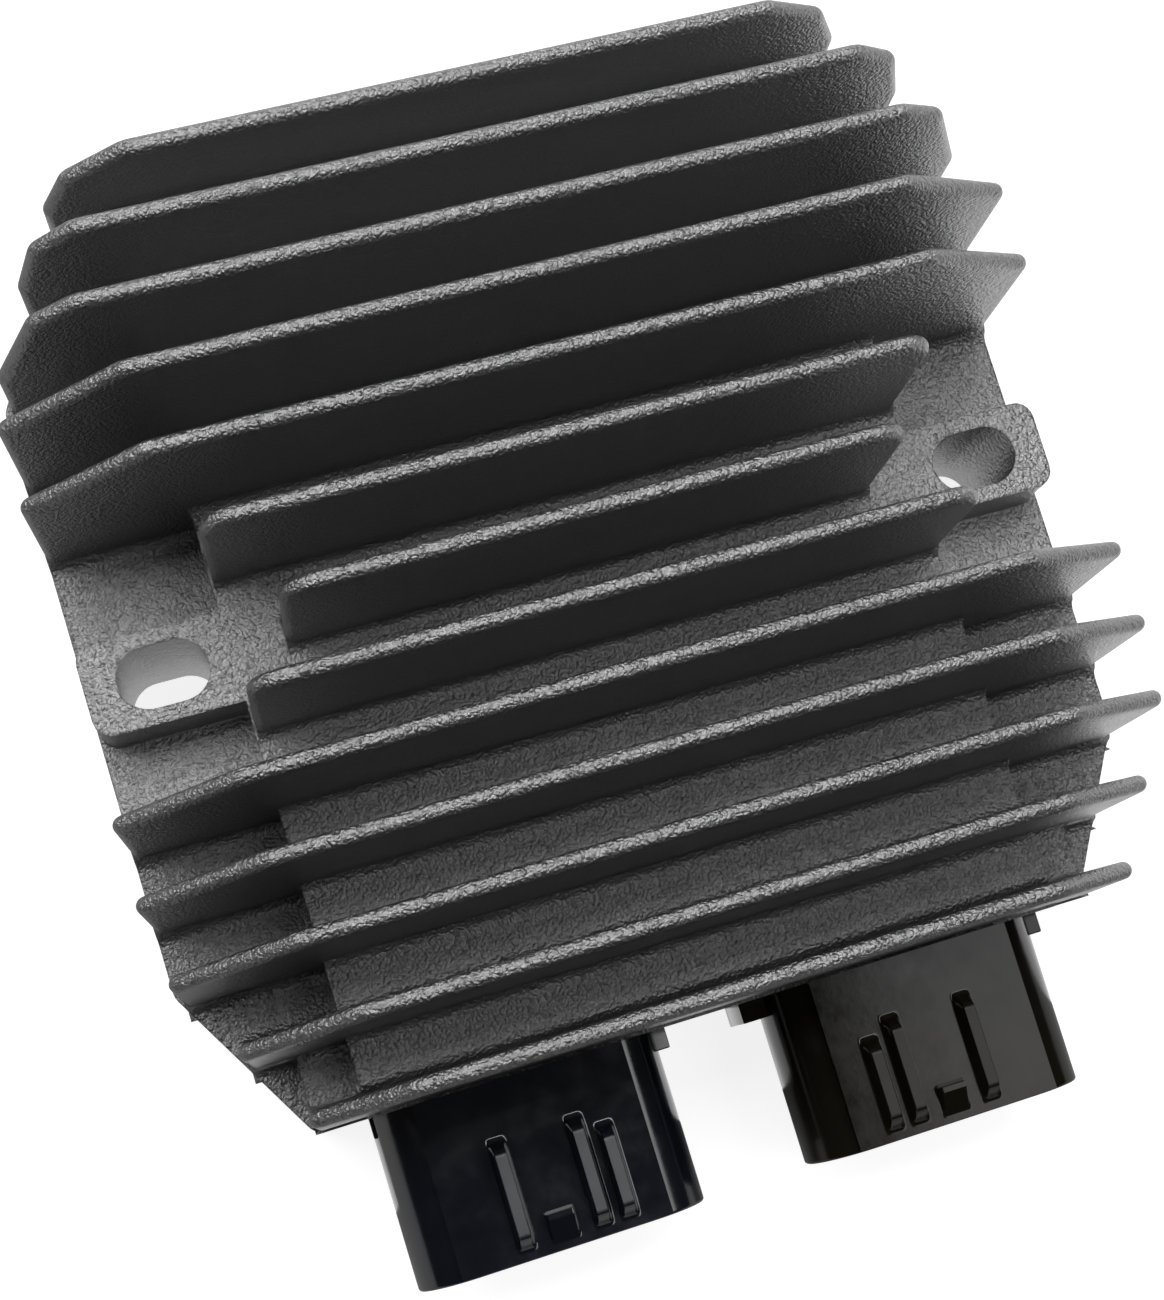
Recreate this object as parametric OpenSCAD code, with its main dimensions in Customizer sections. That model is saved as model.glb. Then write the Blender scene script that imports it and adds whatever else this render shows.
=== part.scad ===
// Voltage regulator and rectifier for a permanent magnet generator.
// A die cast, finned housing with two mounting ears carries two moulded plug
// sockets on its front wall. The power stage sits in the pocket behind the
// deck and is sealed in with potting compound.
// The mounting face is z = 0 and the origin lies midway between the slots.
// X runs along the fins, and -Y points out of the sockets.

/* [Casting] */
// Height of the tallest fins above the mounting face
fin_top = 37; // [35:0.5:42]
// Height of the centre deck and of both ears
deck_top = 17.8; // [17:0.1:20]
// Height of the side floors
floor_top = 11; // [9:0.1:12.4]
// Half width of the base plate
base_half = 53.3; // [52:0.1:58]
// Half width of the base plate at its front and rear edges
end_half = 43.4; // [40:0.1:46]
// How far the base narrows for each millimetre towards those edges
corner_slope = 0.557; // [0.4:0.001:0.8]
// Half width of the centre deck
deck_half = 37.8; // [37:0.1:38.5]
// Radius of the casting's upright corners
corner_r = 2; // [1:0.1:3]

/* [Fins] */
// Number of fins, odd so that one lies between the ears
fin_count = 13; // [13:2:13]
// Distance between fins
fin_pitch = 8.08; // [7.8:0.01:8.6]
// Place of the middle fin, just off the line of the slots
fin_mid_y = 0.6; // [0:0.1:1]
// Thickness of a fin just under its rounded top
fin_tip = 1.8; // [1.4:0.1:2.2]
// Draft of each fin face
fin_draft = 1.2; // [0.8:0.1:1.5]
// Radius where a fin meets the floor or the deck
root_r = 1.2; // [0.6:0.1:1.4]
// Share of a fin's half length that stays at full height
flat_share = 0.756; // [0.6:0.001:0.85]
// Fall of the sloping shoulders at the fin ends
shoulder_drop = 8.5; // [6:0.1:11]
// Half length of the middle fin, short to clear the bolt heads
mid_fin_half = 32.2; // [28:0.1:35]
// Half length of the fins beside it
next_fin_half = 37.6; // [35:0.1:37.8]
// Radius of the upper corners of those three fins
short_fin_r = 3.5; // [2:0.1:5]
// How much lower each of the rear fins is than the rest
rear_drop = [6.6, 3.75, 1.8];
// Full height half length of each rear fin
rear_flat = [34.2, 41.0, 42.8];
// Half length and fall at the upper shoulder of each rear fin
rear_shoulder = [[40.8, 10.4], [45.6, 7.0], [47.6, 4.6]];
// Fall below the tallest fins where each rear fin reaches its full length
rear_waist = [16.5, 15.0, 16.5];

/* [Ears and slots] */
// Distance between the slot centres
slot_spacing = 90; // [86:0.5:92]
// Length of each slot from end to end
slot_len = 9.5; // [8:0.1:10.5]
// Width of each slot
slot_w = 6.5; // [5.5:0.1:7]
// Half width of each ear
ear_half_y = 4.9; // [4.5:0.1:6]
// Material outside the end of each slot
ear_end = 3.3; // [2.5:0.1:3.5]
// Width of the low pads between the front fins
pad_w = 5.4; // [4:0.1:5.5]
// Height of those pads above the side floor
pad_h = 3; // [1:0.1:5]

/* [Back pocket] */
// Thickness of the deck over the pocket
roof_t = 5; // [4:0.1:6]
// Thickness of the front and rear walls
wall_t = 3.2; // [2.5:0.1:4]
// Half width of the pocket
pocket_half = 35.8; // [35.6:0.1:36.2]
// Radius of the pocket's corners
pocket_r = 3; // [1:0.1:5]
// How far the potting lies below the mounting face
potting_recess = 0.8; // [0.2:0.1:1.2]

/* [Plug sockets] */
// Centre of the generator socket
stator_x = -22.3; // [-23:0.1:-20]
// Centre of the battery socket
battery_x = 20.8; // [20:0.1:23]
// Overall width of a socket
socket_w = 31.2; // [30:0.1:34]
// Overall height of a socket without its ribs
socket_h = 14; // [13.6:0.1:15]
// Radius of a socket's long corners
socket_r = 6.4; // [4:0.1:6.7]
// How far a socket stands out from the casting
socket_len = 18.6; // [16:0.1:24]
// Thickness of a socket's walls
socket_wall = 1.7; // [1.4:0.1:1.8]
// Thickness of the wall at the root of a socket
socket_back = 2.5; // [2.4:0.1:4]
// Half width of the flat deck on a socket
socket_deck_half = 10.6; // [9.6:0.1:12]
// Step between that deck and the rounded sides
socket_step = 0.6; // [0.3:0.1:0.9]
// Thickness of the flange against the casting
flange_t = 2.2; // [1.5:0.1:2.3]
// Reach of the flange past the battery side of the generator socket
flange_near = 1.1; // [0.5:0.1:2]
// Reach of the flange past the generator side of the battery socket
flange_far = 2.6; // [1:0.1:3.5]
// Height left free above and below a flange
flange_inset = 0.8; // [0.4:0.1:2]

/* [Socket keys] */
// Width of a keying rib
rib_w = 1.6; // [1:0.1:2]
// Height of a keying rib
rib_h = 2; // [1:0.1:2.5]
// Distance of the inner ribs from the latch
rib_inner = 4.1; // [3:0.1:5]
// Distance of the outer rib from the latch
rib_outer = 6.9; // [6.6:0.1:8.5]
// Length of the inner ribs
rib_len = 12.2; // [8:0.1:13]
// How much shorter the outer rib is
rib_short = 1.6; // [0:0.1:4]
// Bare deck between the ribs and the mouth
rib_setback = 0.9; // [0.5:0.1:2]
// Width of the latch
latch_w = 2.8; // [2:0.1:4]
// Length of the latch's ramp
latch_len = 3.4; // [2:0.1:5]
// Height of the latch
latch_h = 1.5; // [1:0.1:2]

/* [Terminal blades] */
// Width of a blade
blade_w = 6.3; // [4.8:0.1:6.5]
// Thickness of a blade
blade_t = 0.8; // [0.5:0.1:1]
// Distance between blades
blade_pitch = 8.5; // [8.2:0.1:8.9]
// How far a blade's tip lies inside the mouth
blade_setback = 4; // [2:0.1:6]
// Chamfer of a blade's tip
blade_tip = 1.4; // [0.5:0.1:2]

/* [Power stage] */
// Thickness of the insulating plate under the deck
plate_t = 1; // [0.6:0.1:1.2]
// Bare edge of that plate round the devices
plate_margin = 2; // [1:0.1:4]
// Width of a power device
device_w = 12; // [11.8:0.1:13]
// Length of a power device
device_len = 14; // [13.6:0.1:16]
// Thickness of a power device
device_t = 4; // [3.4:0.1:4.2]
// Distance between the phases
phase_pitch = 20; // [18:0.1:20.2]
// Centre line of the thyristors
thyristor_y = 16; // [15:0.1:18]
// Centre line of the diodes
diode_y = -6; // [-7:0.1:-4]
// Width of the copper bars
bar_w = 5; // [4.6:0.1:5.2]
// Thickness of the copper bars
bar_t = 1; // [0.8:0.1:1.1]
// Gap between bars that cross
bar_gap = 0.5; // [0.3:0.1:0.7]
// Gap between bars that run side by side
bar_side_gap = 2; // [1:0.1:2.4]

/* [Control board] */
// Thickness of the board
board_t = 1.2; // [0.8:0.1:1.4]
// Gap between the board and the lowest bar
board_gap = 1.1; // [0.7:0.1:1.2]
// Gap between the board and the pocket's sides
board_edge = 2.8; // [1.8:0.1:3.8]
// Radius of the pins between the board and the power stage
pin_r = 0.5; // [0.3:0.1:0.6]
// Centre line of the control chip and the capacitors
chip_row_y = -2; // [-8:0.5:8]
// Length of the control chip
chip_len = 10; // [8:0.1:14]
// Width of the control chip
chip_w = 6; // [4:0.1:8]
// Thickness of the control chip
chip_t = 1.4; // [0.8:0.1:1.6]
// Length of a chip capacitor
cap_len = 4.5; // [3:0.1:6]
// Thickness of a chip capacitor
cap_t = 1.2; // [0.6:0.1:1.5]
// Centre line of the row of resistors
resistor_row_y = -20; // [-26:0.5:-14]
// Number of chip resistors in the row
resistor_count = 6; // [3:1:8]
// Length of a chip resistor
resistor_len = 3.2; // [2:0.1:4]
// Thickness of a chip resistor
resistor_t = 0.6; // [0.4:0.1:1]

/* [Hidden] */

$fn = 48;
arc_steps = 5;
bury = 1;

// Fins are numbered from the rear: 1 is farthest from the sockets.
mid_fin = (fin_count + 1) / 2;
fin_root_half = fin_tip / 2 + (fin_top - floor_top) * tan(fin_draft);
front_y = fin_y(fin_count) - fin_root_half;
rear_y = fin_y(1) + fin_root_half;
chamfer_run = (base_half - end_half) / corner_slope;
ear_half_x = slot_spacing / 2 + slot_len / 2 + ear_end;

pocket_front = front_y + wall_t;
pocket_rear = rear_y - wall_t;
pocket_top = deck_top - roof_t;

// The sockets line up with the deck and share one height of blade.
socket_top = deck_top;
blade_z = socket_top - socket_h / 2;
mouth_y = front_y - socket_len;
plug_half = blade_pitch + blade_w / 2 + 1.2;
plug_h = 7;

// The power stage hangs from the pocket's roof, layer under layer.
device_top = pocket_top - plate_t;
device_bottom = device_top - device_t;
bar_bottom = device_bottom - bar_t;
low_bar_bottom = bar_bottom - bar_gap - bar_t;
board_top = low_bar_bottom - board_gap;
board_bottom = board_top - board_t;
bar_end_y = pocket_front + 0.6;
leg_y = bar_end_y + 0.4;
phase_contact_y = thyristor_y - 1;
positive_y = thyristor_y + 4;
negative_tab_x = device_w / 2 - 2.8;
negative_tab_w = 2.6;
first_leg_y = diode_y - device_len / 2 - bar_side_gap - bar_w / 2 - 0.5;
board_rear = thyristor_y + device_len / 2 + 3;

function fin_y(k) = fin_mid_y + (mid_fin - k) * fin_pitch;
function phase_x(k) = (k - 2) * phase_pitch;
function leg_line_y(k) = first_leg_y - (k - 1) * (bar_w + bar_side_gap);

// Half width of the base plate at a place along Y
function plan_half(y) =
    min(base_half, end_half + corner_slope * min(y - front_y, rear_y - y));

// Half length of a fin, held inside the plan of the base over its whole root
function fin_half(k) = min(plan_half(fin_y(k) - fin_root_half),
    plan_half(fin_y(k) + fin_root_half));

function unit(v) = v / norm(v);

// Arc of radius r that rounds the corner at p between a and b
function corner_arc(a, p, b, r) =
    let (u = unit(a - p), v = unit(b - p), half = acos(u * v) / 2,
        c = p + unit(u + v) * r / sin(half),
        s = p + u * r / tan(half) - c, e = p + v * r / tan(half) - c,
        t0 = atan2(s[1], s[0]), raw = atan2(e[1], e[0]) - t0,
        turn = raw > 180 ? raw - 360 : raw < -180 ? raw + 360 : raw)
    [for (i = [0 : arc_steps]) c + r * [cos(t0 + turn * i / arc_steps), sin(t0 + turn * i / arc_steps)]];

// Closed outline with each corner [x, y, r] rounded by its own radius
function rounded(pts) = let (n = len(pts)) [for (i = [0 : n - 1])
    let (q = pts[i], a = pts[(i + n - 1) % n], b = pts[(i + 1) % n],
        p = [q[0], q[1]])
    each q[2] > 0 ? corner_arc([a[0], a[1]], p, [b[0], b[1]], q[2]) : [p]];

function mirrored(pts) = concat(pts,
    [for (i = [len(pts) - 1 : -1 : 0]) [-pts[i][0], pts[i][1], pts[i][2]]]);

function rounded_box(x0, x1, y0, y1, r) =
    rounded([[x0, y0, r], [x1, y0, r], [x1, y1, r], [x0, y1, r]]);

// Box between two corners
module block(lo, hi) {
    translate(lo) cube(hi - lo);
}

// Upright slab of an outline drawn in X and Z, between two places along Y
module along_y(y0, y1) {
    translate([0, y1, 0]) rotate([90, 0, 0]) linear_extrude(y1 - y0) children();
}

// Bar of a section drawn in Y and Z, between two places along X
module along_x(x0, x1) {
    translate([x0, 0, 0]) rotate([90, 0, 90]) linear_extrude(x1 - x0) children();
}

// Side view of a fin: level top, sloping shoulders and upright ends
function fin_outline(k) =
    let (h = fin_half(k), low = floor_top - bury, off = abs(k - mid_fin),
        short = off == 0 ? mid_fin_half : next_fin_half)
    off <= 1 ? rounded(mirrored([[short, low, 0], [short, fin_top, short_fin_r]]))
    : k <= len(rear_drop) ? rounded(mirrored([[h, low, 0],
        [h, fin_top - rear_waist[k - 1], 2],
        [rear_shoulder[k - 1][0], fin_top - rear_shoulder[k - 1][1], 2.5],
        [rear_flat[k - 1], fin_top - rear_drop[k - 1], 3]]))
    : rounded(mirrored([[h, low, 0], [h, fin_top - shoulder_drop, 1.8],
        [h * flat_share, fin_top, 3]]));

// Section of a fin: drafted faces, rounded tip and filleted root
module fin_section(top, root) {
    tip = fin_tip / 2;
    foot = tip + (top - root) * tan(fin_draft);
    polygon(concat(
        [[foot + root_r, root - bury], [foot + root_r, root]],
        [for (i = [1 : arc_steps - 1]) let (t = 90 * i / arc_steps)
            [foot + root_r * (1 - sin(t)), root + root_r * (1 - cos(t))]],
        [for (i = [0 : 2 * arc_steps]) let (t = 90 * i / arc_steps)
            [tip * cos(t), top - tip + tip * sin(t)]],
        [for (i = [arc_steps - 1 : -1 : 1]) let (t = 90 * i / arc_steps)
            [-foot - root_r * (1 - sin(t)), root + root_r * (1 - cos(t))]],
        [[-foot - root_r, root], [-foot - root_r, root - bury]]));
}

// One fin, cut off flush with the front and rear walls
module fin(k) {
    top = fin_top - (k <= len(rear_drop) ? rear_drop[k - 1] : 0);
    reach = base_half + bury;
    intersection() {
        along_y(max(front_y, fin_y(k) - fin_pitch / 2), min(rear_y, fin_y(k) + fin_pitch / 2))
            polygon(fin_outline(k));
        union() {
            translate([0, fin_y(k), 0]) {
                along_x(-reach, reach) fin_section(top, floor_top);
                along_x(-deck_half, deck_half) fin_section(top, deck_top);
            }
        }
    }
}

module base_plan() {
    polygon(rounded([
        [base_half, front_y + chamfer_run, corner_r], [base_half, rear_y - chamfer_run, corner_r],
        [end_half, rear_y, corner_r], [-end_half, rear_y, corner_r],
        [-base_half, rear_y - chamfer_run, corner_r], [-base_half, front_y + chamfer_run, corner_r],
        [-end_half, front_y, corner_r], [end_half, front_y, corner_r]]));
}

// One slot, bored at both ends
module slot(side) {
    half = (slot_len - slot_w) / 2;
    translate([side * slot_spacing / 2, 0, -bury]) {
        for (s = [-1, 1])
            translate([s * half, 0, 0]) cylinder(h = deck_top + 2 * bury, d = slot_w);
        translate([-half, -slot_w / 2, 0]) cube([2 * half, slot_w, deck_top + 2 * bury]);
    }
}

// Low pads on the side floors between the two front fins
module front_pads() {
    y0 = fin_y(fin_count);
    y1 = fin_y(fin_count - 1) - fin_root_half;
    for (s = [-1, 1])
        block([s > 0 ? deck_half : -deck_half - pad_w, y0, floor_top - bury],
            [s > 0 ? deck_half + pad_w : -deck_half, y1, floor_top + pad_h]);
}

module heat_sink() color([0.15, 0.15, 0.16]) difference() {
    union() {
        linear_extrude(floor_top) base_plan();
        translate([0, 0, bury]) linear_extrude(deck_top - bury) {
            polygon(rounded_box(-deck_half, deck_half, front_y, rear_y, corner_r));
            polygon(rounded_box(-ear_half_x, ear_half_x, -ear_half_y, ear_half_y, corner_r));
        }
        front_pads();
        for (k = [1 : fin_count]) fin(k);
    }
    translate([0, 0, -bury]) linear_extrude(pocket_top + bury)
        polygon(rounded_box(-pocket_half, pocket_half, pocket_front, pocket_rear, pocket_r));
    for (s = [-1, 1]) slot(s);
    for (x = [stator_x, battery_x])
        block([x - plug_half, front_y - bury, blade_z - plug_h / 2],
            [x + plug_half, pocket_front + bury, blade_z + plug_h / 2]);
}

// Section of a socket: rounded sides under a flat, bevelled deck
module socket_section() {
    side_top = socket_h / 2 - socket_step;
    polygon(rounded_box(-socket_w / 2, socket_w / 2, -socket_h / 2, side_top, socket_r));
    polygon([[-socket_deck_half - socket_step, side_top - socket_step],
        [socket_deck_half + socket_step, side_top - socket_step],
        [socket_deck_half, socket_h / 2], [-socket_deck_half, socket_h / 2]]);
}

// Keying rib with sloping ends, its foot sunk in the deck
module rib(x, length) {
    tip = mouth_y + rib_setback;
    slope = rib_h / 2;
    along_x(x - rib_w / 2, x + rib_w / 2)
        polygon([[tip, socket_top - 0.5], [tip, socket_top],
            [tip + slope, socket_top + rib_h], [tip + length - slope, socket_top + rib_h],
            [tip + length, socket_top], [tip + length, socket_top - 0.5]]);
}

// Latch whose ramp rises from the mouth
module latch(x) {
    tip = mouth_y + rib_setback;
    along_x(x - latch_w / 2, x + latch_w / 2)
        polygon([[tip, socket_top - 0.5], [tip, socket_top + 0.2],
            [tip + latch_len * 0.75, socket_top + latch_h],
            [tip + latch_len, socket_top + latch_h], [tip + latch_len, socket_top - 0.5]]);
}

// Socket with its flange, its plug through the casting and its keys.
// The side is 1 where the outer rib lies towards +X and -1 for its mirror image.
module connector(x, side, reach_left, reach_right) difference() {
    union() {
        along_y(mouth_y, front_y) translate([x, blade_z]) socket_section();
        block([x - socket_w / 2 - reach_left, front_y - flange_t, blade_z - socket_h / 2 + flange_inset],
            [x + socket_w / 2 + reach_right, front_y, socket_top - flange_inset]);
        block([x - plug_half, front_y - bury, blade_z - plug_h / 2],
            [x + plug_half, pocket_front, blade_z + plug_h / 2]);
        rib(x - side * rib_inner, rib_len);
        rib(x + side * rib_inner, rib_len);
        rib(x + side * rib_outer, rib_len - rib_short);
        latch(x);
    }
    along_y(mouth_y - bury, front_y - socket_back)
        polygon(rounded_box(x - socket_w / 2 + socket_wall, x + socket_w / 2 - socket_wall,
            blade_z - socket_h / 2 + socket_wall, socket_top - socket_wall,
            socket_r - socket_wall));
    for (i = [-1 : 1])
        block([x + i * blade_pitch - blade_w / 2, front_y - socket_back - bury, blade_z - blade_t / 2],
            [x + i * blade_pitch + blade_w / 2, pocket_front + bury, blade_z + blade_t / 2]);
}

module stator_connector() color([0.05, 0.06, 0.09])
    connector(stator_x, 1, flange_near, flange_near);

module battery_connector() color([0.12, 0.12, 0.11])
    connector(battery_x, -1, flange_far, flange_near);

// Flat blade with a tapered tip, and a leg down to the bar that feeds it
module blade(x, foot_z) color("silver") {
    tip_y = mouth_y + blade_setback;
    half = blade_w / 2;
    translate([x, 0, blade_z - blade_t / 2]) linear_extrude(blade_t)
        polygon([[-half, leg_y + blade_t], [-half, tip_y + blade_tip], [-half + blade_tip, tip_y],
            [half - blade_tip, tip_y], [half, tip_y + blade_tip], [half, leg_y + blade_t]]);
    block([x - half, leg_y, foot_z], [x + half, leg_y + blade_t, blade_z + blade_t / 2]);
}

module stator_blade(k) blade(stator_x + (k - 2) * blade_pitch, device_bottom);
module stator_blade_1() stator_blade(1);
module stator_blade_2() stator_blade(2);
module stator_blade_3() stator_blade(3);

// The sense lead, the negative lead and the positive lead, from left to right
module battery_blade_1() blade(battery_x - blade_pitch, board_top);
module battery_blade_2() blade(battery_x, low_bar_bottom + bar_t);
module battery_blade_3() blade(battery_x + blade_pitch, device_bottom);

module insulating_plate() color("white") {
    half = phase_pitch + device_w / 2 + plate_margin;
    block([-half, diode_y - device_len / 2 - plate_margin, device_top],
        [half, thyristor_y + device_len / 2 + plate_margin, pocket_top]);
}

module device(x, y) color([0.2, 0.2, 0.22])
    block([x - device_w / 2, y - device_len / 2, device_bottom],
        [x + device_w / 2, y + device_len / 2, device_top]);

module thyristor_1() device(phase_x(1), thyristor_y);
module thyristor_2() device(phase_x(2), thyristor_y);
module thyristor_3() device(phase_x(3), thyristor_y);
module diode_1() device(phase_x(1), diode_y);
module diode_2() device(phase_x(2), diode_y);
module diode_3() device(phase_x(3), diode_y);

// Copper strip in the upper layer between two corners of its centre line
module bar_run(a, b, z) {
    r = bar_w / 2;
    block([min(a[0], b[0]) - r, min(a[1], b[1]) - r, z],
        [max(a[0], b[0]) + r, max(a[1], b[1]) + r, z + bar_t]);
}

// Cranked bar from one phase's pair of devices to its blade
module phase_bar(k) color([0.72, 0.45, 0.2]) {
    x = phase_x(k);
    bx = stator_x + (k - 2) * blade_pitch;
    y = leg_line_y(k);
    bar_run([x, phase_contact_y - bar_w / 2], [x, y], bar_bottom);
    bar_run([x, y], [bx, y], bar_bottom);
    bar_run([bx, y], [bx, bar_end_y + bar_w / 2], bar_bottom);
}

module phase_bar_1() phase_bar(1);
module phase_bar_2() phase_bar(2);
module phase_bar_3() phase_bar(3);

module positive_bus_bar() color([0.72, 0.45, 0.2]) {
    x = battery_x + blade_pitch;
    bar_run([phase_x(1), positive_y], [x, positive_y], bar_bottom);
    bar_run([x, positive_y], [x, bar_end_y + bar_w / 2], bar_bottom);
}

// Runs under the phase bars, with a raised tab at each diode
module negative_bus_bar() color([0.72, 0.45, 0.2]) {
    last = phase_x(3) + negative_tab_x + negative_tab_w - bar_w / 2;
    bar_run([phase_x(1) + negative_tab_x + bar_w / 2, diode_y], [last, diode_y], low_bar_bottom);
    bar_run([battery_x, diode_y], [battery_x, bar_end_y + bar_w / 2], low_bar_bottom);
    for (k = [1 : 3])
        block([phase_x(k) + negative_tab_x, diode_y - bar_w / 2, low_bar_bottom],
            [phase_x(k) + negative_tab_x + negative_tab_w, diode_y + bar_w / 2, device_bottom]);
}

module control_board() color([0.1, 0.3, 0.15]) {
    half = pocket_half - board_edge;
    block([-half, bar_end_y, board_bottom], [half, board_rear, board_top]);
}

// Gate pins at the thyristors, and sense pins at the bars
module board_pins() color("gold") {
    sense_y = leg_line_y(3) - bar_w;
    for (k = [1 : 3]) {
        translate([phase_x(k) + device_w / 2 - 1.5, thyristor_y - 4, board_top])
            cylinder(h = device_bottom - board_top, r = pin_r);
        translate([stator_x + (k - 2) * blade_pitch, sense_y, board_top])
            cylinder(h = bar_bottom - board_top, r = pin_r);
    }
    translate([battery_x + blade_pitch, sense_y, board_top])
        cylinder(h = bar_bottom - board_top, r = pin_r);
    translate([battery_x, sense_y, board_top])
        cylinder(h = low_bar_bottom - board_top, r = pin_r);
}

module chip(x, y, length, width, height)
    block([x - length / 2, y - width / 2, board_bottom - height],
        [x + length / 2, y + width / 2, board_bottom]);

module control_chip() color([0.1, 0.1, 0.1]) chip(0, chip_row_y, chip_len, chip_w, chip_t);

module driver_transistors() color([0.15, 0.15, 0.15])
    for (k = [1 : 3]) chip(phase_x(k), thyristor_y, cap_len, cap_len * 0.6, cap_t);

module chip_capacitors() color([0.6, 0.5, 0.35])
    for (s = [-1, 1]) chip(s * phase_pitch, chip_row_y, cap_len, cap_len * 0.7, cap_t);

module chip_resistors() color([0.15, 0.15, 0.15])
    for (i = [0 : resistor_count - 1])
        chip((i - (resistor_count - 1) / 2) * 2 * resistor_len, resistor_row_y,
            resistor_len, resistor_len / 2, resistor_t);

// Fills the pocket round everything that hangs in it
module potting_block() color([0.08, 0.08, 0.09]) difference() {
    translate([0, 0, potting_recess]) linear_extrude(pocket_top - potting_recess)
        polygon(rounded_box(-pocket_half, pocket_half, pocket_front, pocket_rear, pocket_r));
    for (k = [1 : 3]) {
        stator_blade(k);
        phase_bar(k);
        device(phase_x(k), thyristor_y);
        device(phase_x(k), diode_y);
    }
    battery_blade_1();
    battery_blade_2();
    battery_blade_3();
    insulating_plate();
    positive_bus_bar();
    negative_bus_bar();
    control_board();
    board_pins();
    control_chip();
    driver_transistors();
    chip_capacitors();
    chip_resistors();
}

heat_sink();
stator_connector();
battery_connector();
stator_blade_1();
stator_blade_2();
stator_blade_3();
battery_blade_1();
battery_blade_2();
battery_blade_3();
insulating_plate();
thyristor_1();
thyristor_2();
thyristor_3();
diode_1();
diode_2();
diode_3();
phase_bar_1();
phase_bar_2();
phase_bar_3();
positive_bus_bar();
negative_bus_bar();
control_board();
board_pins();
control_chip();
driver_transistors();
chip_capacitors();
chip_resistors();
potting_block();
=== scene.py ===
"""Looks of a finned voltage regulator and rectifier with two plug sockets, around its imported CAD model."""

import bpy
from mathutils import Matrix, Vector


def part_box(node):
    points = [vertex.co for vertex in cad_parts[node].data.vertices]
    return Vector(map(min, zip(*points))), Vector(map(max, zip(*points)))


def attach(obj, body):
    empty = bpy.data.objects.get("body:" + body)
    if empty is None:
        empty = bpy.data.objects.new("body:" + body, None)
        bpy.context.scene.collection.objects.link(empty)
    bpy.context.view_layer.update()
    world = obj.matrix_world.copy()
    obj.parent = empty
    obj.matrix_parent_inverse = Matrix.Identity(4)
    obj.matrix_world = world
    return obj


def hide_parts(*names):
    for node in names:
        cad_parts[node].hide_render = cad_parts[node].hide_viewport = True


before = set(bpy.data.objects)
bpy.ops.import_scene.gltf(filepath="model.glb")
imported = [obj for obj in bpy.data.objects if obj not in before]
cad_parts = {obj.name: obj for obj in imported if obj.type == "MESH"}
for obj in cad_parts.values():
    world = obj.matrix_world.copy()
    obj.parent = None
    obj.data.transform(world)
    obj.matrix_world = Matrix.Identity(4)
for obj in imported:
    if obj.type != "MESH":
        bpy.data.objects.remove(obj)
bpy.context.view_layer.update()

import math

import bmesh
import bpy
import numpy as np

# Finned casting.
# One aluminium die casting, coated black all over. The coat dries to a fine leathery
# grain, and the cast edges come out of the die softly rounded.

MM = 0.001
EDGE_ROUND = 0.45 * MM
EDGE_ANGLE = math.radians(32)
WELD = 0.002 * MM
FLOOR_TOP = 11.0 * MM
DECK_TOP = 17.8 * MM
DECK_HALF_WIDTH = 37.8 * MM
FIN_COUNT = 13
FIN_TOP = 37.0 * MM
FIN_PITCH = 8.08 * MM
FIN_MIDDLE = 0.6 * MM
FIN_TIP = 0.9 * MM
FIN_DRAFT = math.tan(math.radians(1.2))
FIN_ROOT = 1.2 * MM
FIN_RIM = 0.9 * MM
ROOT_HALF = FIN_TIP + (FIN_TOP - FLOOR_TOP) * FIN_DRAFT
REAR_FINS = [
    [(50.0, 20.5, 2), (40.8, 26.6, 2.5), (34.2, 30.4, 3)],
    [(50.0, 22.0, 2), (45.6, 30.0, 2.5), (41.0, 33.25, 3)],
    [(50.0, 20.5, 2), (47.6, 32.4, 2.5), (42.8, 35.2, 3)],
]
REAR_TOPS = [30.4 * MM, 33.25 * MM, 35.2 * MM]
SHOULDER = (0.756, 8.5 * MM, 1.8 * MM, 3.0 * MM)
SHORT_FINS = {6: 37.6 * MM, 7: 32.2 * MM, 8: 37.6 * MM}
SHORT_FIN_ROUND = 3.5 * MM
BASE_HALF = 53.3 * MM
END_HALF = 43.4 * MM
CORNER_SLOPE = 0.557


def shader_group(name, inputs, outputs):
    """Empty shader group with named number inputs and outputs, given as {name: default}."""
    group = bpy.data.node_groups.new(name, "ShaderNodeTree")
    for label, value in inputs.items():
        kind = "NodeSocketVector" if value is None else "NodeSocketFloat"
        socket = group.interface.new_socket(label, in_out="INPUT", socket_type=kind)
        if value is not None:
            socket.default_value = value
    for label in outputs:
        group.interface.new_socket(label, in_out="OUTPUT", socket_type="NodeSocketFloat")
    return group, group.nodes.new("NodeGroupInput"), group.nodes.new("NodeGroupOutput")


def noise(tree, vector, scale, detail, roughness):
    """Noise texture node that reads the given vector. Returns its Fac socket."""
    node = tree.nodes.new("ShaderNodeTexNoise")
    node.inputs["Detail"].default_value = detail
    node.inputs["Roughness"].default_value = roughness
    tree.links.new(vector, node.inputs["Vector"])
    if hasattr(scale, "is_output"):
        tree.links.new(scale, node.inputs["Scale"])
    else:
        node.inputs["Scale"].default_value = scale
    return node.outputs["Fac"]


def math_node(tree, operation, first, second, clamp=False):
    """One Math node. Each operand is a socket or a number."""
    node = tree.nodes.new("ShaderNodeMath")
    node.operation = operation
    node.use_clamp = clamp
    for socket, value in zip(node.inputs, (first, second)):
        if hasattr(value, "is_output"):
            tree.links.new(value, socket)
        else:
            socket.default_value = value
    return node.outputs[0]


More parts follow.
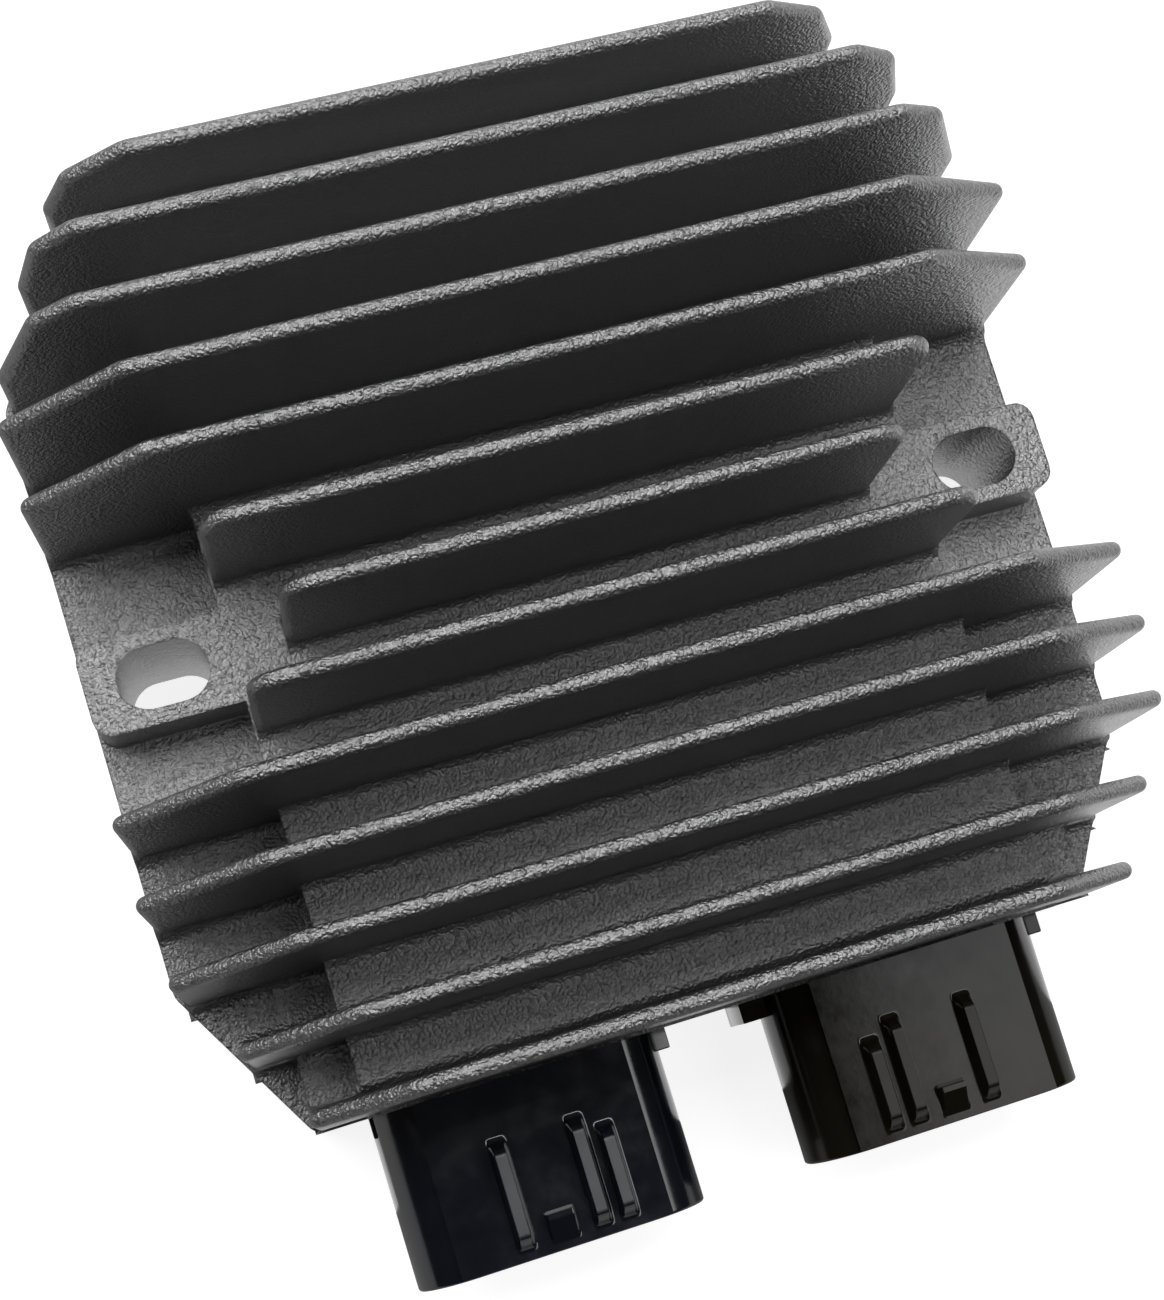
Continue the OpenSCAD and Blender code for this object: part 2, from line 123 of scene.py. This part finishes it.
def leather_grain_group():
    """Height of a coat that dried to rounded pebbles with creases between them, and a slow blotch mask."""
    group, given, out = shader_group("leather_grain", {"Vector": None, "Pebbles per metre": 1500.0}, ["Height", "Blotch"])
    vector, density = given.outputs[0], given.outputs[1]
    pebbles = group.nodes.new("ShaderNodeTexVoronoi")
    group.links.new(density, pebbles.inputs["Scale"])
    bent = group.nodes.new("ShaderNodeVectorMath")
    bent.operation = "MULTIPLY_ADD"
    wander = group.nodes.new("ShaderNodeTexNoise")
    wander.inputs["Scale"].default_value = 900.0
    group.links.new(vector, wander.inputs["Vector"])
    group.links.new(wander.outputs["Color"], bent.inputs[0])
    bent.inputs[1].default_value = (0.0007, 0.0007, 0.0007)
    group.links.new(vector, bent.inputs[2])
    group.links.new(bent.outputs[0], pebbles.inputs["Vector"])
    domes = math_node(group, "MULTIPLY", pebbles.outputs["Distance"], -1.0)
    fine = noise(group, vector, math_node(group, "MULTIPLY", density, 1.7), 3.0, 0.6)
    group.links.new(math_node(group, "ADD", domes, fine), out.inputs["Height"])
    group.links.new(noise(group, vector, 120.0, 3.0, 0.55), out.inputs["Blotch"])
    return group


LEATHER_GRAIN = leather_grain_group()


def new_material(name, colour, roughness, metallic=0.0, level=0.5, ior=1.5):
    """Material with one Principled shader. Returns it with its tree and that shader."""
    material = bpy.data.materials.new(name)
    material.use_nodes = True
    shader = material.node_tree.nodes["Principled BSDF"]
    shader.inputs["Base Color"].default_value = (*colour, 1.0)
    shader.inputs["Roughness"].default_value = roughness
    shader.inputs["Metallic"].default_value = metallic
    shader.inputs["Specular IOR Level"].default_value = level
    shader.inputs["IOR"].default_value = ior
    return material, material.node_tree, shader


def object_coordinates(tree):
    """Object coordinate socket of a material."""
    return tree.nodes.new("ShaderNodeTexCoord").outputs["Object"]


def bump(tree, shader, height, depth, edge=0.0):
    """Bump of that depth in metres into the shader's Normal, over edges that look rounded by that radius."""
    node = tree.nodes.new("ShaderNodeBump")
    node.inputs["Distance"].default_value = depth
    tree.links.new(height, node.inputs["Height"])
    tree.links.new(node.outputs["Normal"], shader.inputs["Normal"])
    if edge:
        rounding = tree.nodes.new("ShaderNodeBevel")
        rounding.samples = 4
        rounding.inputs["Radius"].default_value = edge
        tree.links.new(rounding.outputs["Normal"], node.inputs["Normal"])


def spread(tree, value, low, high):
    """Map Range of a mask from its usual span of 0.3 to 0.7 to low and high."""
    node = tree.nodes.new("ShaderNodeMapRange")
    node.inputs["From Min"].default_value = 0.3
    node.inputs["From Max"].default_value = 0.7
    node.inputs["To Min"].default_value = low
    node.inputs["To Max"].default_value = high
    tree.links.new(value, node.inputs["Value"])
    return node.outputs["Result"]


def mix_colours(tree, factor, first, second):
    """Mix of two colours by a mask."""
    node = tree.nodes.new("ShaderNodeMix")
    node.data_type = "RGBA"
    tree.links.new(factor, node.inputs["Factor"])
    node.inputs["A"].default_value = (*first, 1.0)
    node.inputs["B"].default_value = (*second, 1.0)
    return node.outputs["Result"]


def black_coat():
    """Semi-gloss black coat over cast metal, grained, with slow changes of gloss."""
    material, tree, shader = new_material("black_coat", (0.001, 0.001, 0.0015), 0.32, level=0.95, ior=2.3)
    grain = tree.nodes.new("ShaderNodeGroup")
    grain.node_tree = LEATHER_GRAIN
    grain.inputs["Pebbles per metre"].default_value = 2300.0
    tree.links.new(object_coordinates(tree), grain.inputs["Vector"])
    bump(tree, shader, grain.outputs["Height"], 0.16 * MM, EDGE_ROUND)
    tree.links.new(spread(tree, grain.outputs["Blotch"], 0.29, 0.36), shader.inputs["Roughness"])
    tree.links.new(mix_colours(tree, grain.outputs["Blotch"], (0.0007, 0.0009, 0.0016), (0.0015, 0.0015, 0.0018)),
                   shader.inputs["Base Color"])
    return material


def fin_place(k):
    """Place along Y of the fin with that number, counted from the rear."""
    return FIN_MIDDLE + ((FIN_COUNT + 1) / 2 - k) * FIN_PITCH


def grid_mesh(points, loop, capped=False):
    """Quads over a grid of points, (rows, columns, 3). A loop closes along its columns, and capped rows at both ends."""
    rows, columns = points.shape[:2]
    index = np.arange(rows * columns).reshape(rows, columns)
    across = np.roll(index, -1, 1) if loop else index[:, 1:]
    here = index if loop else index[:, :-1]
    faces = np.stack([here[:-1], across[:-1], across[1:], here[1:]], -1).reshape(-1, 4).tolist()
    if capped:
        faces += [index[0].tolist(), index[-1].tolist()]
    return points.reshape(-1, 3).tolist(), faces


def join_shells(name, shells, shape=None):
    """One object from closed smooth shells and any given flat-faced mesh. Seams are welded, faces turned outwards."""
    shape = shape or bmesh.new()
    for face in shape.faces:
        face.smooth = False
    for points, faces in shells:
        part = bpy.data.meshes.new("part")
        part.from_pydata(points, [], faces)
        part.shade_smooth()
        start = len(shape.verts)
        shape.from_mesh(part)
        bpy.data.meshes.remove(part)
        shape.verts.ensure_lookup_table()
        bmesh.ops.remove_doubles(shape, verts=shape.verts[start:], dist=WELD / 4)
    bmesh.ops.recalc_face_normals(shape, faces=shape.faces)
    mesh = bpy.data.meshes.new(name)
    shape.to_mesh(mesh)
    shape.free()
    mesh.set_sharp_from_angle(angle=EDGE_ANGLE)
    piece = bpy.data.objects.new(name, mesh)
    bpy.context.collection.objects.link(piece)
    return piece


def corner_arcs(corners, steps=9):
    """Arcs that round the corners (x, z, radius) of a convex outline, as centres, radii and directions."""
    spots = np.array([corner[:2] for corner in corners])
    centres, radii, directions = [], [], []
    for i, (x, z, radius) in enumerate(corners):
        back, on = spots[i - 1] - spots[i], spots[(i + 1) % len(spots)] - spots[i]
        back, on = back / np.linalg.norm(back), on / np.linalg.norm(on)
        half = math.acos(back @ on) / 2
        inward = (back + on) / np.linalg.norm(back + on)
        centre = spots[i] + inward * radius / math.sin(half)
        start, end = (spots[i] + side * radius / math.tan(half) - centre for side in (back, on))
        first = math.atan2(start[1], start[0])
        sweep = (math.atan2(end[1], end[0]) - first + math.pi) % (2 * math.pi) - math.pi
        angle = first + sweep * np.linspace(0, 1, steps)
        centres.append(np.tile(centre, (steps, 1)))
        radii.append(np.full(steps, radius))
        directions.append(np.stack([np.cos(angle), np.sin(angle)], -1))
    return np.concatenate(centres), np.concatenate(radii), np.concatenate(directions)


def plan_half(y):
    """Half width of the base plate at a place along Y: constant, then narrowing towards the front and rear."""
    room = min(y - fin_place(FIN_COUNT), fin_place(1) - y) + ROOT_HALF
    return min(BASE_HALF, END_HALF + CORNER_SLOPE * room)


def fin_corners(k):
    """Half of a fin's outline from its foot upwards, and the height of its top."""
    half = min(plan_half(fin_place(k) - ROOT_HALF), plan_half(fin_place(k) + ROOT_HALF))
    foot = FLOOR_TOP - 1.5 * MM
    if k in SHORT_FINS:
        half = SHORT_FINS[k]
        return [(half, foot + DECK_TOP - FLOOR_TOP, FIN_RIM), (half, FIN_TOP, SHORT_FIN_ROUND)], FIN_TOP
    if k <= len(REAR_FINS):
        upper = [(x * MM, z * MM, r * MM) for x, z, r in REAR_FINS[k - 1]]
        return [(half, foot, FIN_RIM), (half, *upper[0][1:]), *upper[1:]], REAR_TOPS[k - 1]
    share, drop, low_round, high_round = SHOULDER
    return [(half, foot, FIN_RIM), (half, FIN_TOP - drop, low_round), (half * share, FIN_TOP, high_round)], FIN_TOP


def fin_shell(k):
    """One fin: its outline drawn in along a quarter ellipse on each side, so that its whole rim is round.

    Half the thickness grows in a straight line from the local height of the fin down to the root."""
    right, top = fin_corners(k)
    centre, radius, direction = corner_arcs(right + [(-x, z, r) for x, z, r in reversed(right)])
    turn = np.linspace(-math.pi / 2, math.pi / 2, 13)
    flat = centre + (radius - (FIN_RIM * (1 - np.cos(turn)))[:, None])[..., None] * direction
    along, height = zip(*sorted(corner[:2] for corner in right[1:]))
    depth = np.interp(np.abs(flat[..., 0]), along, height) - FIN_TIP - flat[..., 1]
    thick = FIN_TIP + (top - FLOOR_TOP) * FIN_DRAFT * np.maximum(depth, 0) / (top - FIN_TIP - FLOOR_TOP - FIN_ROOT)
    points = np.stack([flat[..., 0], fin_place(k) + thick * np.sin(turn)[:, None], flat[..., 1]], -1)
    return grid_mesh(points, True, capped=True)


def casting_without_fins(node):
    """Copy of the casting's mesh, welded, its fins pressed down to slim stubs that the new fins hide."""
    bare = bpy.data.meshes.new("bare")
    bare.from_pydata([v.co for v in node.data.vertices], [], [p.vertices[:] for p in node.data.polygons])
    shape = bmesh.new()
    shape.from_mesh(bare)
    bpy.data.meshes.remove(bare)
    bmesh.ops.remove_doubles(shape, verts=shape.verts, dist=WELD)
    for vertex in shape.verts:
        if vertex.co.z > FLOOR_TOP + WELD:
            edge = plan_half(vertex.co.y)
            vertex.co.x = max(-edge, min(edge, vertex.co.x))
        if vertex.co.z > DECK_TOP + FIN_ROOT + WELD:
            nearest = fin_place(round((FIN_COUNT + 1) / 2 - (vertex.co.y - FIN_MIDDLE) / FIN_PITCH))
            on_deck = abs(vertex.co.x) <= DECK_HALF_WIDTH + WELD
            vertex.co.y = nearest + 0.3 * (vertex.co.y - nearest)
            vertex.co.z = (DECK_TOP if on_deck else FLOOR_TOP) + FIN_ROOT + EDGE_ROUND
    return shape


def finish_piece(piece, material, slot, *nodes):
    """Gives a new piece its material and its place in the model."""
    piece.data.materials.clear()
    piece.data.materials.append(material)
    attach(piece, "root")
    for node in nodes:
        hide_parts(node)


casting = join_shells("casting", [fin_shell(k) for k in range(1, FIN_COUNT + 1)],
                      casting_without_fins(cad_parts["heat_sink"]))
finish_piece(casting, black_coat(), "casting", "heat_sink")

# Plug sockets.
# Two injection mouldings in glossy black plastic, each with a flange against the casting,
# a flat deck with three keying ribs and a latch, and rounded sides round an open mouth.

SOCKET_HEIGHT = 14.0 * MM
SOCKET_WIDTH = 31.2 * MM
SOCKET_CORNER = 6.4 * MM
SOCKET_WALL = 1.7 * MM
SOCKET_BACK = 2.5 * MM
DECK_HALF = 10.6 * MM
DECK_STEP = 0.6 * MM
FLANGE = 2.2 * MM
FLANGE_INSET = 0.8 * MM
FLANGE_DROP = 5.0 * MM
FLANGE_LEFT = 2.5 * MM
LIP = 0.35 * MM
RIB_HEIGHT = 2.0 * MM
RIB_HALF = 0.55 * MM
RIB_FOOT = 0.55 * MM
RIB_REACH = 12.2 * MM
RIB_SETBACK = 0.9 * MM
RIB_INNER = 4.1 * MM
RIB_OUTER = 6.9 * MM
OUTER_RIB_REACH = 10.6 * MM
RIB_TOP = DECK_TOP + 0.95 * RIB_HEIGHT
LATCH_HALF = 1.3 * MM
LATCH_REACH = 3.4 * MM
LATCH_HEIGHT = 1.5 * MM


def rounded_loop(half_x, half_z, radius, steps=24):
    """Outline of a rectangle with round corners: a circle of that radius with its four quarters moved apart."""
    quarter = np.linspace(0, math.pi / 2, steps)
    angle = (quarter[None, :] + np.arange(4)[:, None] * math.pi / 2).reshape(-1)
    side_x = np.repeat([1, -1, -1, 1], steps)
    side_z = np.repeat([1, 1, -1, -1], steps)
    return np.stack([side_x * (half_x - radius) + radius * np.cos(angle),
                     side_z * (half_z - radius) + radius * np.sin(angle)], -1)


def socket_shell(centre_x, centre_z, mouth, wall):
    """Shell of a socket: the outline carried from the casting to the mouth, round the lip and back inside.

    Each row is the outline drawn in by an inset and set at a place along Y. The two ends close on a point."""
    half_x, half_z = SOCKET_WIDTH / 2, SOCKET_HEIGHT / 2 - DECK_STEP / 2
    middle_z = centre_z - DECK_STEP / 2
    turn = np.linspace(0, math.pi / 2, 6)
    inset = np.concatenate([[0, 0], LIP * (1 - np.cos(turn)), SOCKET_WALL - LIP * (1 - np.sin(turn)),
                            [SOCKET_WALL]])
    place = np.concatenate([[wall, wall - FLANGE], mouth + LIP * (1 - np.sin(turn)),
                            mouth + LIP * (1 - np.cos(turn)), [wall - SOCKET_BACK]])
    rows = [np.column_stack([loop[:, 0] + centre_x, np.full(len(loop), y), loop[:, 1] + middle_z])
            for d, y in zip(inset, place)
            for loop in [rounded_loop(half_x - d, half_z - d, SOCKET_CORNER - d)]]
    ends = [np.tile([centre_x, y, middle_z], (len(rows[0]), 1)) for y in (wall, wall - SOCKET_BACK)]
    return grid_mesh(np.array([ends[0], *rows, ends[1]]), True)


def ease(value):
    """Smooth step from 0 to 1."""
    t = np.clip(value, 0, 1)
    return t * t * (3 - 2 * t)


def socket_deck(centre_x, top, mouth, wall, side):
    """Deck of a socket: a sheet whose height is the deck plus ribs and latch, with its rim turned down.

    A rib's height is its full height times a smooth step across its width and along its length."""
    x = np.concatenate([np.linspace(-DECK_HALF - DECK_STEP, -DECK_HALF, 6)[:-1],
                        np.linspace(-DECK_HALF, DECK_HALF, 250),
                        np.linspace(DECK_HALF, DECK_HALF + DECK_STEP, 6)[1:]])
    y = np.linspace(mouth + LIP / 2, wall, 170)
    grid_x, grid_y = np.meshgrid(x, y)
    height = -DECK_STEP * np.clip((np.abs(grid_x) - DECK_HALF) / DECK_STEP, 0, 1)
    tip = mouth + RIB_SETBACK
    for place, reach in ((-side * RIB_INNER, RIB_REACH), (side * RIB_INNER, RIB_REACH),
                         (side * RIB_OUTER, OUTER_RIB_REACH)):
        across = ease((RIB_HALF + RIB_FOOT - np.abs(grid_x - place)) / RIB_FOOT)
        along = ease((grid_y - tip) / RIB_HEIGHT) * ease((tip + reach - grid_y) / RIB_HEIGHT)
        height = np.maximum(height, RIB_HEIGHT * across * along)
    ramp = np.clip((grid_y - tip) / (LATCH_REACH * 0.75), 0, 1) * ease((tip + LATCH_REACH - grid_y) / (RIB_FOOT / 2))
    latch = LATCH_HEIGHT * ramp * ease((LATCH_HALF + RIB_FOOT / 2 - np.abs(grid_x)) / (RIB_FOOT / 2))
    height = np.maximum(height, latch)
    sheet = np.stack([grid_x + centre_x, grid_y, top + height], -1)
    sunk = sheet.copy()
    sunk[..., 2] = top - 1.6 * DECK_STEP
    closed = np.concatenate([sunk[:1], sheet, sunk[-1:]], 0)
    left, right = closed[:, :1].copy(), closed[:, -1:].copy()
    left[..., 2] = right[..., 2] = top - 1.6 * DECK_STEP
    return grid_mesh(np.concatenate([left, closed, right], 1), False)


def rounded_slab(low, high, radius):
    """Box with round edges: a sphere's eight octants moved out to the box's corners."""
    quarter = np.linspace(0, math.pi / 2, 5)
    turn = (quarter[None, :] + np.arange(4)[:, None] * math.pi / 2).reshape(-1)
    tilt = np.concatenate([-quarter[::-1], quarter])
    sides = np.stack([np.repeat([1, -1, -1, 1], 5), np.repeat([1, 1, -1, -1], 5)], -1)
    up = np.repeat([-1, 1], 5)
    low, high = np.array(low), np.array(high)
    half, middle = (high - low) / 2 - radius, (high + low) / 2
    points = np.empty((10, 20, 3))
    points[..., 0] = sides[:, 0] * half[0] + radius * np.cos(tilt)[:, None] * np.cos(turn)
    points[..., 1] = sides[:, 1] * half[1] + radius * np.cos(tilt)[:, None] * np.sin(turn)
    points[..., 2] = (up * half[2] + radius * np.sin(tilt))[:, None]
    caps = [np.tile([0, 0, s * (half[2] + radius)], (1, 20, 1)) for s in (-1, 1)]
    return grid_mesh(np.concatenate([caps[0], points, caps[1]], 0) + middle, True)


def moulded_socket(name, node, blade, side, flange_left):
    """Whole socket as one piece, placed by its CAD node and its middle blade."""
    low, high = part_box(node)
    blade_low, blade_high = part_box(blade)
    centre_x = (blade_low.x + blade_high.x) / 2
    top = high.z - RIB_HEIGHT
    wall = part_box("heat_sink")[0].y
    flange = rounded_slab((centre_x - SOCKET_WIDTH / 2 - flange_left, wall - FLANGE, low.z + FLANGE_INSET),
                          (high.x, wall + FLANGE / 4, top - FLANGE_DROP), LIP / 2)
    return join_shells(name, [socket_shell(centre_x, top - SOCKET_HEIGHT / 2, low.y, wall),
                             socket_deck(centre_x, top, low.y, wall, side), flange])


def gloss_black(name, colour, smooth, dull, level, matt_above):
    """Polished moulded plastic with faint handling marks: gloss varies slowly and the face is barely wavy.

    The tops of the ribs, above the given height, are rubbed matt."""
    material, tree, shader = new_material(name, colour, smooth, level=level, ior=1.6)
    where = object_coordinates(tree)
    parts = tree.nodes.new("ShaderNodeSeparateXYZ")
    tree.links.new(where, parts.inputs[0])
    rubbed = math_node(tree, "MULTIPLY", math_node(tree, "GREATER_THAN", parts.outputs["Z"], matt_above), 0.3)
    gloss = spread(tree, noise(tree, where, 260.0, 4.0, 0.6), smooth, dull)
    tree.links.new(math_node(tree, "ADD", gloss, rubbed), shader.inputs["Roughness"])
    waves = noise(tree, where, 380.0, 2.0, 0.5)
    specks = noise(tree, where, 5200.0, 1.0, 0.5)
    bump(tree, shader, math_node(tree, "ADD", waves, math_node(tree, "MULTIPLY", specks, 0.12)), 0.012 * MM)
    return material


stator_socket = moulded_socket("stator_socket", "stator_connector", "stator_blade_2", 1, 0)
finish_piece(stator_socket, gloss_black("socket_blue_black", (0.004, 0.005, 0.009), 0.1, 0.2, 1.0, RIB_TOP),
             "socket_blue_black", "stator_connector")
battery_socket = moulded_socket("battery_socket", "battery_connector", "battery_blade_2", -1, FLANGE_LEFT)
finish_piece(battery_socket, gloss_black("socket_bronze_black", (0.007, 0.0055, 0.003), 0.1, 0.2, 0.38, RIB_TOP),
             "socket_bronze_black", "battery_connector")

# Terminal blades and board pins.
# Flat brass tabs stamped from strip and tinned bright, moulded into the backs of the
# sockets, and the tinned pins that carry the board.


def dress(names, material):
    """Gives CAD nodes one material."""
    for name in names:
        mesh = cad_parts[name].data
        mesh.materials.clear()
        mesh.materials.append(material)


def tin_plate():
    """Tin plating: bright metal with a faint frosting."""
    material, tree, shader = new_material("tin_plate", (0.7, 0.69, 0.66), 0.25, metallic=1.0)
    frost = noise(tree, object_coordinates(tree), 1500.0, 3.0, 0.6)
    tree.links.new(spread(tree, frost, 0.18, 0.4), shader.inputs["Roughness"])
    bump(tree, shader, frost, 0.004 * MM)
    return material


TIN_PLATE = tin_plate()
dress([f"{lead}_blade_{k}" for lead in ("stator", "battery") for k in (1, 2, 3)] + ["board_pins"], TIN_PLATE)

# Power stage.
# Three thyristors and three diodes soldered under a white ceramic plate, joined by
# copper strips that run out to the blades. All of it lies in the potting.


def mottled(name, dark, light, roughness, density, depth, metallic=0.0):
    """Matt surface whose colour and height both follow one fine noise."""
    material, tree, shader = new_material(name, light, roughness, metallic)
    fleck = noise(tree, object_coordinates(tree), density, 4.0, 0.6)
    tree.links.new(mix_colours(tree, fleck, dark, light), shader.inputs["Base Color"])
    bump(tree, shader, fleck, depth)
    return material


POWER_DEVICES = [f"{kind}_{k}" for kind in ("thyristor", "diode") for k in (1, 2, 3)]
DEVICE_MOULDING = mottled("device_moulding", (0.015, 0.015, 0.016), (0.04, 0.04, 0.04), 0.6, 3000.0, 0.01 * MM)
dress(POWER_DEVICES + ["control_chip", "driver_transistors"], DEVICE_MOULDING)
dress(["insulating_plate"], mottled("alumina", (0.78, 0.78, 0.75), (0.88, 0.88, 0.85), 0.55, 2500.0, 0.008 * MM))
dress(["phase_bar_1", "phase_bar_2", "phase_bar_3", "positive_bus_bar", "negative_bus_bar"],
      mottled("bare_copper", (0.62, 0.3, 0.18), (0.8, 0.45, 0.3), 0.35, 600.0, 0.006 * MM, metallic=1.0))

# Control board.
# A glass fibre board under a green coat, with its chip, drivers, capacitors and
# resistors on the face away from the power stage.

dress(["control_board"], mottled("board_coat", (0.015, 0.1, 0.035), (0.03, 0.16, 0.06), 0.35, 900.0, 0.01 * MM))
dress(["chip_capacitors", "chip_resistors"],
      mottled("fired_ceramic", (0.2, 0.15, 0.1), (0.42, 0.34, 0.24), 0.5, 2600.0, 0.006 * MM))

# Potting.
# Black resin poured into the pocket behind the fins until it covers the board, a
# little below the mounting face, and left to set with a satin skin.


def satin_resin():
    """Cast resin: nearly black, satin, with a slow unevenness from setting."""
    material, tree, shader = new_material("satin_resin", (0.012, 0.012, 0.014), 0.3)
    where = object_coordinates(tree)
    tree.links.new(spread(tree, noise(tree, where, 90.0, 3.0, 0.5), 0.22, 0.42), shader.inputs["Roughness"])
    bump(tree, shader, noise(tree, where, 60.0, 3.0, 0.5), 0.25 * MM)
    return material


dress(["potting_block"], satin_resin())

# Table, lamps and camera.
# A pale table under a wide soft lamp behind and a smaller one to the right, and the
# camera above and to the left as in the photograph.

FLOOR_HALF = 3.0
TABLE_GREY = (0.4, 0.4, 0.4)
LAMPS = {
    "softbox": ((0.49, -0.2, 0.62), (0.64, 0.6), 1.5),
    "back_fill": ((-0.2, 0.45, 0.75), (1.5, 0.72), 3.9),
}
SKY = 0.02
LIT_FROM = (-50 * MM, -60 * MM)
LIT_GLOW = 1.0
WHITE_SEEN = 0.8
TABLE_DROP = 0.05 * MM
CAMERA_PLACE = (-38.86 * MM, -48.97 * MM, 227.6 * MM)
CAMERA_TURN = (6.968, -8.652, -17.37)
CAMERA_LENS = 56.7
CAMERA_SHIFT = (-0.0694, 0.1679)


def pale_table():
    """Pale table that the camera sees as plain white. Glossy faces mirror its right and rear as white too,
    and near the object it is a little greyer, so that the shadow still shows."""
    material, tree, shader = new_material("pale_table", TABLE_GREY, 0.8)
    shader.inputs["Emission Color"].default_value = (1, 1, 1, 1)
    path = tree.nodes.new("ShaderNodeLightPath")
    parts = tree.nodes.new("ShaderNodeSeparateXYZ")
    tree.links.new(object_coordinates(tree), parts.inputs[0])
    lit_x = math_node(tree, "GREATER_THAN", parts.outputs["X"], LIT_FROM[0])
    lit_y = math_node(tree, "GREATER_THAN", parts.outputs["Y"], LIT_FROM[1])
    lit_side = math_node(tree, "MULTIPLY", math_node(tree, "MULTIPLY", lit_x, lit_y), LIT_GLOW)
    glossy = math_node(tree, "MULTIPLY", path.outputs["Is Glossy Ray"], lit_side)
    away = tree.nodes.new("ShaderNodeVectorMath")
    away.operation = "LENGTH"
    tree.links.new(object_coordinates(tree), away.inputs[0])
    whiter = math_node(tree, "MINIMUM", math_node(tree, "ADD", away.outputs["Value"], WHITE_SEEN), 1.0)
    seen = math_node(tree, "MULTIPLY", path.outputs["Is Camera Ray"], whiter)
    tree.links.new(math_node(tree, "MAXIMUM", seen, glossy), shader.inputs["Emission Strength"])
    return material


table_mesh = bpy.data.meshes.new("table")
table_mesh.from_pydata([(x, y, -TABLE_DROP) for x, y in ((-FLOOR_HALF, -FLOOR_HALF), (FLOOR_HALF, -FLOOR_HALF),
                                                         (FLOOR_HALF, FLOOR_HALF), (-FLOOR_HALF, FLOOR_HALF))],
                       [], [(0, 1, 2, 3)])
table = bpy.data.objects.new("table", table_mesh)
bpy.context.collection.objects.link(table)
table_mesh.materials.append(pale_table())

for name, (place, size, radiance) in LAMPS.items():
    lamp = bpy.data.lights.new(name, "AREA")
    lamp.shape = "RECTANGLE"
    lamp.size, lamp.size_y = size
    lamp.energy = radiance * math.pi * size[0] * size[1]
    holder = bpy.data.objects.new(name, lamp)
    holder.location = place
    bpy.context.collection.objects.link(holder)

world = bpy.data.worlds.new("room")
bpy.context.scene.world = world
world.use_nodes = True
background = world.node_tree.nodes["Background"]
path = world.node_tree.nodes.new("ShaderNodeLightPath")
world.node_tree.links.new(
    math_node(world.node_tree, "MAXIMUM", path.outputs["Is Camera Ray"], SKY), background.inputs["Strength"])
background.inputs["Color"].default_value = (1, 1, 1, 1)

camera_data = bpy.data.cameras.new("camera")
camera_data.lens = CAMERA_LENS
camera_data.shift_x, camera_data.shift_y = CAMERA_SHIFT
camera_data.clip_start = 0.01
camera = bpy.data.objects.new("camera", camera_data)
camera.location = CAMERA_PLACE
camera.rotation_euler = [math.radians(a) for a in CAMERA_TURN]
bpy.context.collection.objects.link(camera)
bpy.context.scene.camera = camera
bpy.context.scene.view_settings.view_transform = "Standard"
